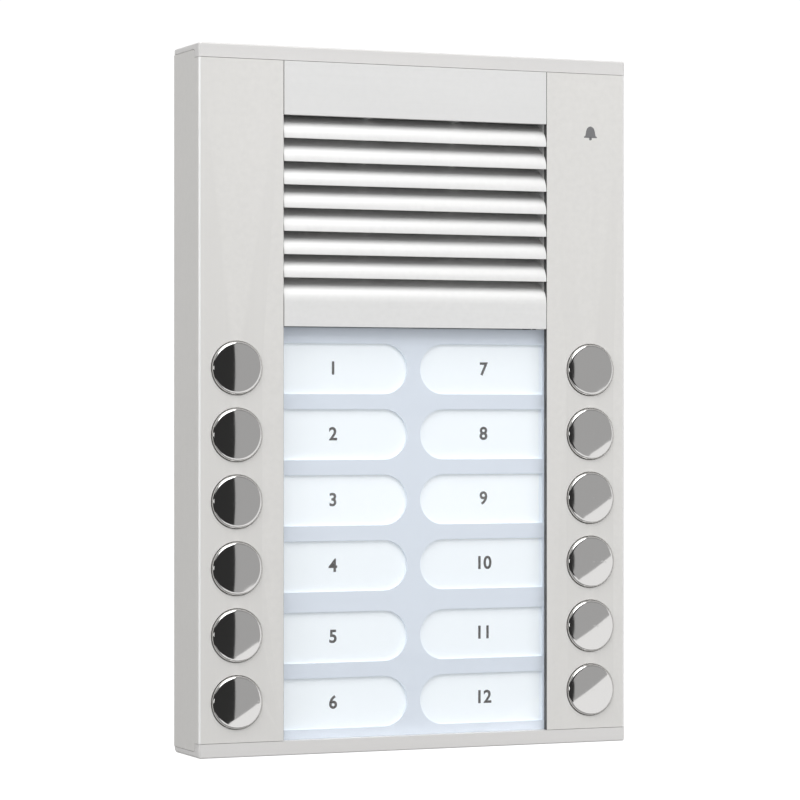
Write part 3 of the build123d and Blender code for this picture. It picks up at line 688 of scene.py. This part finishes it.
def printBell(look, material):
    front = cadBox[0][1] + look["behindButtons"]
    tall, foot = look["height"], look["z"] - look["height"] / 2
    shape = bmesh.new()

    def sheet(points):
        near = [shape.verts.new((x, front - look["thickness"], z)) for x, z in points]
        far = [shape.verts.new((x, front + look["thickness"], z)) for x, z in points]
        shape.faces.new(near)
        shape.faces.new(far[::-1])
        for i in range(len(points)):
            j = (i + 1) % len(points)
            shape.faces.new((near[j], near[i], far[i], far[j]))

    right = [(w * tall, (look["rim"] + up * (1 - look["rim"])) * tall) for up, w in look["outline"]]
    left = [(-x, z) for x, z in right[-2::-1]]
    sheet([(look["x"] + x, foot + z) for x, z in right + left])
    reach = look["clapper"] * tall
    turns = [2 * math.pi * step / look["clapperSides"] for step in range(look["clapperSides"])]
    sheet([(look["x"] + reach * math.cos(turn), foot + reach * (1 + math.sin(turn))) for turn in turns])
    bmesh.ops.recalc_face_normals(shape, faces=shape.faces)
    mesh = bpy.data.meshes.new("bell_sign")
    shape.to_mesh(mesh)
    shape.free()
    mesh.materials.append(material)
    sign = linked("bell_sign", mesh)
    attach(sign, "front")


printBell(bellSign, inkMaterial("signInk", signInk))
print("sign printed")

# studio: pale floor, soft lights, and cards that only reflections see
studio = {
    "floorSize": 8.0, "floorColor": (0.3, 0.3, 0.3, 1), "floorRough": 0.9, "floorGlow": 0.95,
    "floorGap": 0.2 * mm, "ambient": 0.34, "white": 1.05}
softLights = {
    "topSoft": {"place": (-0.3, -0.95, 1.45), "size": 1.4, "watts": 22, "mirrored": True},
    "frontFill": {"place": (0.7, -1.5, 0.6), "size": 1.6, "watts": 11, "mirrored": False},
    "leftFill": {"place": (-1.6, -0.3, 0.3), "size": 1.2, "watts": 12, "mirrored": False},
}
# angles in degrees from the front towards +X
# low and high give the slope of each edge at the first and last angle
mirrorCards = {
    "darkCard": {"turn": (-100.0, 18.3), "low": (-0.6, -0.6), "high": (0.42, 0.42),
        "glow": 0.028, "reach": 8.0},
    "greyCard": {"turn": (18.3, 75.0), "low": (-0.6, -0.6), "high": (0.42, 0.42),
        "glow": 0.42, "reach": 8.0},
    "lightCard": {"turn": (-20.0, 80.0), "low": (-1.2, -1.2), "high": (-0.685, 0.406),
        "glow": 0.92, "reach": 1.2},
    "spotCard": {"turn": (-62.0, -52.0), "low": (-0.08, -0.08), "high": (0.1, 0.1),
        "glow": 3.5, "reach": 7.5},
}
cardSteps = 12  # straight pieces along each card's curve


def glowing(name, color, rough, glow):
    material, kit, shader = newMaterial(name, Base_Color=color, Roughness=rough)
    shader.inputs["Emission Color"].default_value = (1, 1, 1, 1)
    shader.inputs["Emission Strength"].default_value = glow
    return material


def makeFloor(setup):
    size, z = setup["floorSize"], float(cadBox[0][2]) - setup["floorGap"]
    mesh = bpy.data.meshes.new("studioFloor")
    corners = [(-size, -size, z), (size, -size, z), (size, size, z), (-size, size, z)]
    mesh.from_pydata(corners, [], [(0, 1, 2, 3)])
    floor = bpy.data.objects.new("studioFloor", mesh)
    scene.collection.objects.link(floor)
    mesh.materials.append(glowing("paleFloor", setup["floorColor"], setup["floorRough"], setup["floorGlow"]))
    floor.visible_glossy = False
    floor.visible_diffuse = False


def makeWorld(setup):
    world = bpy.data.worlds.new("studioWorld")
    world.use_nodes = True
    kit = Nodes(world.node_tree)
    shade = world.node_tree.nodes["Background"]
    seen = kit.add("ShaderNodeLightPath").outputs["Is Camera Ray"]
    kit.link(kit.remap(seen, setup["ambient"], setup["white"]), shade.inputs["Strength"])
    shade.inputs["Color"].default_value = (1, 1, 1, 1)
    scene.world = world


def makeLight(name, setup):
    # square soft box aimed at the middle of the wall face
    data = bpy.data.lights.new(name, "AREA")
    data.shape = "SQUARE"
    data.size = setup["size"]
    data.energy = setup["watts"]
    light = bpy.data.objects.new(name, data)
    light.location = setup["place"]
    light.rotation_euler = (-Vector(setup["place"])).to_track_quat("-Z", "Y").to_euler()
    light.visible_camera = False
    light.visible_glossy = setup["mirrored"]
    scene.collection.objects.link(light)


def makeMirrorCard(name, setup, count):
    # a card standing in front of the panel, seen only in polished surfaces
    mesh = bpy.data.meshes.new(name)
    corners, reach = [], setup["reach"]
    for step in range(count + 1):
        share = step / count
        angle = math.radians(setup["turn"][0] + (setup["turn"][1] - setup["turn"][0]) * share)
        x, y = reach * math.sin(angle), -reach * math.cos(angle)
        for first, last in (setup["low"], setup["high"]):
            corners.append((x, y, (first + (last - first) * share) * reach))
    faces = [(2 * i, 2 * i + 2, 2 * i + 3, 2 * i + 1) for i in range(count)]
    mesh.from_pydata(corners, [], faces)
    card = bpy.data.objects.new(name, mesh)
    scene.collection.objects.link(card)
    mesh.materials.append(glowing(name + "Paint", (0, 0, 0, 1), 1.0, setup["glow"]))
    for ray in ("camera", "diffuse", "shadow", "transmission"):
        setattr(card, "visible_" + ray, False)


makeFloor(studio)
makeWorld(studio)
for name, setup in softLights.items():
    makeLight(name, setup)
for name, setup in mirrorCards.items():
    makeMirrorCard(name, setup, cardSteps)
print("studio lit")
